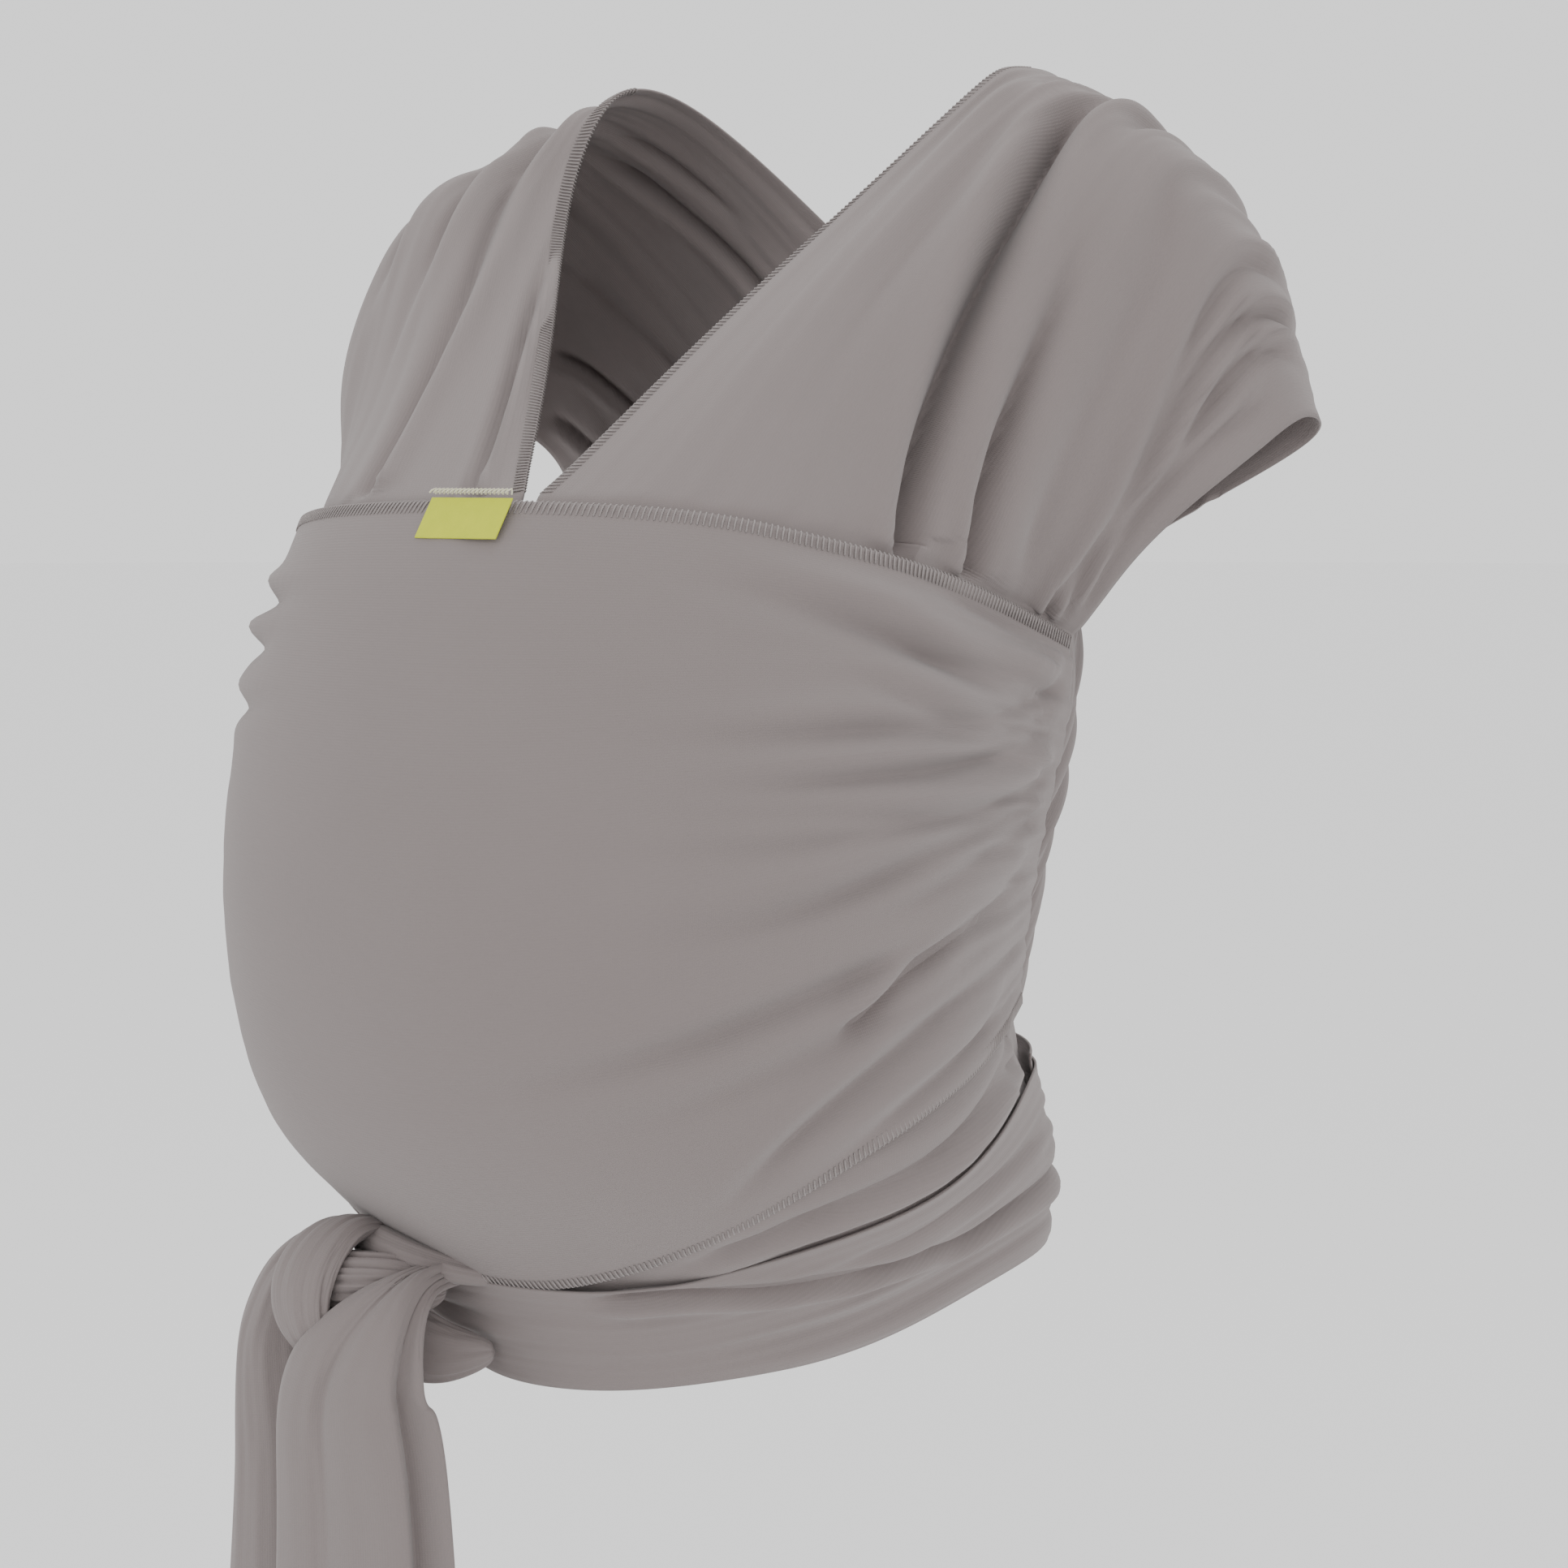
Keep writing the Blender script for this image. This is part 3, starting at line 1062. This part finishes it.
def tails() -> tuple[Tail, ...]:
    """The left tail in front, broad and smooth, and the right one behind it."""
    front = Tail(
        Side.LEFT, ((-26, -212, 44), (-29, -233, 42), (-36, -247, 28), (-44, -253, 9), (-50, -254, -8),
                    (-52, -253, -28), (-52, -250, -66), (-54, -247, -160), (-60, -245, -300),
                         (-64, -243, -430)),
        ((4, 4), (9, 6), (21, 8), (32, 10), (39, 11), (43, 12), (46.5, 12), (52, 13), (59, 14), (62, 14)),
        ((0.2, 0.85), (0.6, 0.95), (1.0, 0.75), (0.94, 0.45), (0.66, 0.15), (0.76, -0.5), (0.45, -0.9),
         (0.0, -0.95), (-0.25, -0.72), (-0.42, -0.95), (-0.75, -0.85), (-0.97, -0.3), (-0.9, 0.4),
              (-0.5, 0.7)),
        (2.0, -26.0), (-70.0, -243.0), 34.0, (0.24, 0.48))
    behind = Tail(
        Side.RIGHT, ((-84, -222, 52), (-98, -224, 46), (-112, -224, 33), (-123, -221, 14), (-128, -218, -8),
                     (-129, -215, -45), (-131, -212, -110), (-137, -209, -280), (-143, -208, -430)),
        ((8, 8), (12, 10), (15, 12), (19, 13), (24, 14), (29, 14), (34, 14), (48, 14), (56, 14)),
        ((0.3, 0.7), (0.8, 0.85), (0.98, 0.55), (0.7, 0.15), (0.4, -0.35), (0.1, -0.85), (-0.3, -0.98),
         (-0.7, -0.8), (-0.97, -0.2), (-0.85, 0.6), (-0.3, 0.85)),
        (0.0, -34.0), (-112.0, -209.0), 30.0, (0.2, 0.48))
    return front, behind


# ---------------------------------------------------------------- tag and label


@dataclass(frozen=True)
class MiddleTag:
    """The folded tag that marks the middle of the cloth, sewn over the panel's top edge."""

    width: float = 46.0
    thick: float = 0.9
    stitch_pitch: float = 2.4

    def build(self, shop: Workshop) -> None:
        """Make the tag, its pale stitches and its fold."""
        low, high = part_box("tag")
        ribbon = WovenRibbon("tag_ribbon", "tag_cloth", (0.52, 0.58, 0.012), (0.68, 0.73, 0.035)).make()
        top = np.array([(low[0] + high[0]) / 2, high[1], high[2]]) / MM + (0, -1.2, 0.8)
        bottom = np.array([(low[0] + high[0]) / 2, low[1], low[2]]) / MM + (0, 0.9, 0)
        rows, columns = 24, 56
        down = np.linspace(0, 1, rows)[:, None]
        across = np.linspace(-0.5, 0.5, columns)[None, :]
        grid = np.empty((rows, columns, 3))
        grid[..., 0] = top[0] + across * self.width - 3.0 * (down - 0.5)
        for axis in (1, 2):
            grid[..., axis] = top[axis] + (bottom[axis] - top[axis]) * down
        curl = 1.2 * (2 * across) ** 2 * (0.3 + 0.7 * down) + 0.5 * np.sin(9 * across + 2) * down
        grid[..., 1] += curl * 0.8
        piece = shop.sheet("tag_ribbon", grid, self.thick, ribbon)
        bevel = piece.modifiers.new("soft_edge", "BEVEL")
        bevel.width, bevel.segments, bevel.limit_method, bevel.angle_limit = 0.0003, 2, "ANGLE", 1.0
        shop.place(piece, Body.TAG, "tag_cloth", ("tag",))
        self.tack(shop, grid)

    def tack(self, shop: Workshop, grid: np.ndarray) -> None:
        """The pale stitches over the seam, and the frayed fringe of the cut ribbon."""
        pale = Thread("pale_thread", (0.62, 0.60, 0.42), (0.80, 0.78, 0.60)).make()
        kept, shop.thread = shop.thread, pale
        edge = grid[0] + np.array([0, -0.2, 3.4])
        inward = grid[4] - grid[0]
        inward /= np.linalg.norm(inward, axis=1, keepdims=True)
        out = np.broadcast_to(np.array([0, -0.85, 0.53]), edge.shape)
        shop.stitches("tag_stitches", edge, inward, out, self.stitch_pitch, 2.0, Body.WRAP, ("tag_tack",))
        shop.thread = kept


@dataclass(frozen=True)
class CareLabel:
    """A small plain satin label, sewn into the right tail's edge."""

    def build(self, shop: Workshop) -> None:
        """Make the label with a soft wave in it."""
        low, high = (np.array(c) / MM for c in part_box("care_label"))
        satin = WovenRibbon("label_satin", "label_satin", (0.74, 0.73, 0.70), (0.84, 0.83, 0.80), 2200.0,
                            0.42).make()
        rows, columns = 40, 26
        down, across = np.linspace(0, 1, rows)[:, None], np.linspace(0, 1, columns)[None, :]
        grid = np.empty((rows, columns, 3))
        grid[..., 0] = low[0] + (high[0] - low[0] + 3.0) * across
        grid[..., 1] = (low[1] + high[1]) / 2 + 1.6 * np.sin(4 * across + 1.5 * down) * (1 - across)
        grid[..., 2] = high[2] + (low[2] - high[2]) * down
        piece = shop.sheet("care_label_satin", grid, 0.4, satin)
        shop.place(piece, Body.CARE_LABEL, "label_satin", ("care_label",))


# ---------------------------------------------------------------- the studio


@dataclass(frozen=True)
class Studio:
    """Pale floor, soft light all round, and the camera.

    Attributes:
        azimuth, elevation: where the camera stands, in degrees.
        distance: how far it is from its target, in metres.
        target: what it looks at, in metres.
        lens: its focal length on a 36 mm sensor.
    """

    azimuth: float = 36.0
    elevation: float = 5.0
    distance: float = 1.825
    target: tuple[float, float, float] = (0.004, 0.003, 0.254)
    lens: float = 85.0
    floor_drop: float = 0.02

    def build(self, lowest: float) -> None:
        """Make the floor, the lights and the camera."""
        self.floor(lowest - self.floor_drop)
        world = bpy.data.worlds.new("studio")
        bpy.context.scene.world = world
        world.use_nodes = True
        world.node_tree.nodes["Background"].inputs[0].default_value = (1.0, 1.0, 1.0, 1)
        world.node_tree.nodes["Background"].inputs[1].default_value = 1.25
        self.lamp("key", (-0.6, -2.8, 2.2), 7.0, 1.6)
        self.lamp("fill", (1.5, -1.7, 1.3), 3.0, 1.6)
        self.lamp("top", (0.2, 0.4, 2.6), 11.0, 1.6)
        self.camera()

    @staticmethod
    def floor(height: float) -> None:
        """A wide pale floor under the object."""
        bpy.ops.object.select_all(action="DESELECT")
        bpy.ops.mesh.primitive_circle_add(vertices=96, radius=30, fill_type="NGON", location=(0, 0, height))
        floor = bpy.context.object
        floor.name = "floor"
        graph = Graph("floor_white")
        graph.set("Base Color", (0.96, 0.96, 0.96, 1))
        graph.set("Roughness", 0.9)
        floor.data.materials.append(graph.material)
        floor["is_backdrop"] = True

    def lamp(self, name: str, place: tuple[float, float, float], power: float, size: float) -> None:
        """A soft square lamp that faces the target."""
        data = bpy.data.lights.new(name, "AREA")
        data.energy, data.size = power, size
        lamp = bpy.data.objects.new(name, data)
        lamp.location = place
        lamp.rotation_euler = (Vector(self.target) - Vector(place)).to_track_quat("-Z", "Y").to_euler()
        bpy.context.scene.collection.objects.link(lamp)

    def camera(self) -> None:
        """The camera, at its angle and distance from the target."""
        data = bpy.data.cameras.new("camera")
        data.lens, data.sensor_width = self.lens, 36.0
        camera = bpy.data.objects.new("camera", data)
        turn, rise = math.radians(self.azimuth), math.radians(self.elevation)
        away = Vector((math.sin(turn) * math.cos(rise), -math.cos(turn) * math.cos(rise), math.sin(rise)))
        camera.location = Vector(self.target) + away * self.distance
        camera.rotation_euler = (-away).to_track_quat("-Z", "Y").to_euler()
        bpy.context.scene.collection.objects.link(camera)
        bpy.context.scene.camera = camera


# ---------------------------------------------------------------- the whole sling


def edge_of(grid: np.ndarray, column: int, inner: int) -> tuple[np.ndarray, np.ndarray, np.ndarray]:
    """Points along one edge of a surface, the way in from each, and the normal there."""
    inward = grid[:, inner] - grid[:, column]
    inward /= np.linalg.norm(inward, axis=1, keepdims=True)
    return grid[:, column], inward, normals(grid)[:, column]


def dress() -> None:
    """Build every piece of the sling."""
    shop, trunk = Workshop(), Trunk()
    for band in (*crosses(), *waist_passes()):
        band.build(shop, trunk)
    front = panel().build(shop, trunk)
    shop.stitches("panel_top_stitches", *edge_of(front, -1, -6), nodes=("panel_top_hem_thread",))
    shop.stitches("panel_bottom_stitches", *edge_of(front, 0, 5), nodes=("panel_bottom_hem_thread",))
    for shoulder in (left_shoulder(), right_shoulder()):
        grid = shoulder.build(shop, trunk)
        name = shoulder.side.name.lower()
        upper = grid[int(grid.shape[0] * 2.2 / 14):int(grid.shape[0] * 7.2 / 14)]
        shop.stitches(f"{name}_neck_stitches", *edge_of(upper, 0, 4), nodes=(f"{name}_strap_hem_thread",))
    Knot().build(shop)
    for tail in tails():
        tail.build(shop)
    MiddleTag().build(shop)
    CareLabel().build(shop)


def main() -> None:
    """Load the frame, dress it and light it."""
    logging.basicConfig(level=logging.INFO, format="%(name)s: %(message)s")
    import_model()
    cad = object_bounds()
    dress()
    Studio().build(cad[0][2])


if __name__ == "__main__":
    main()
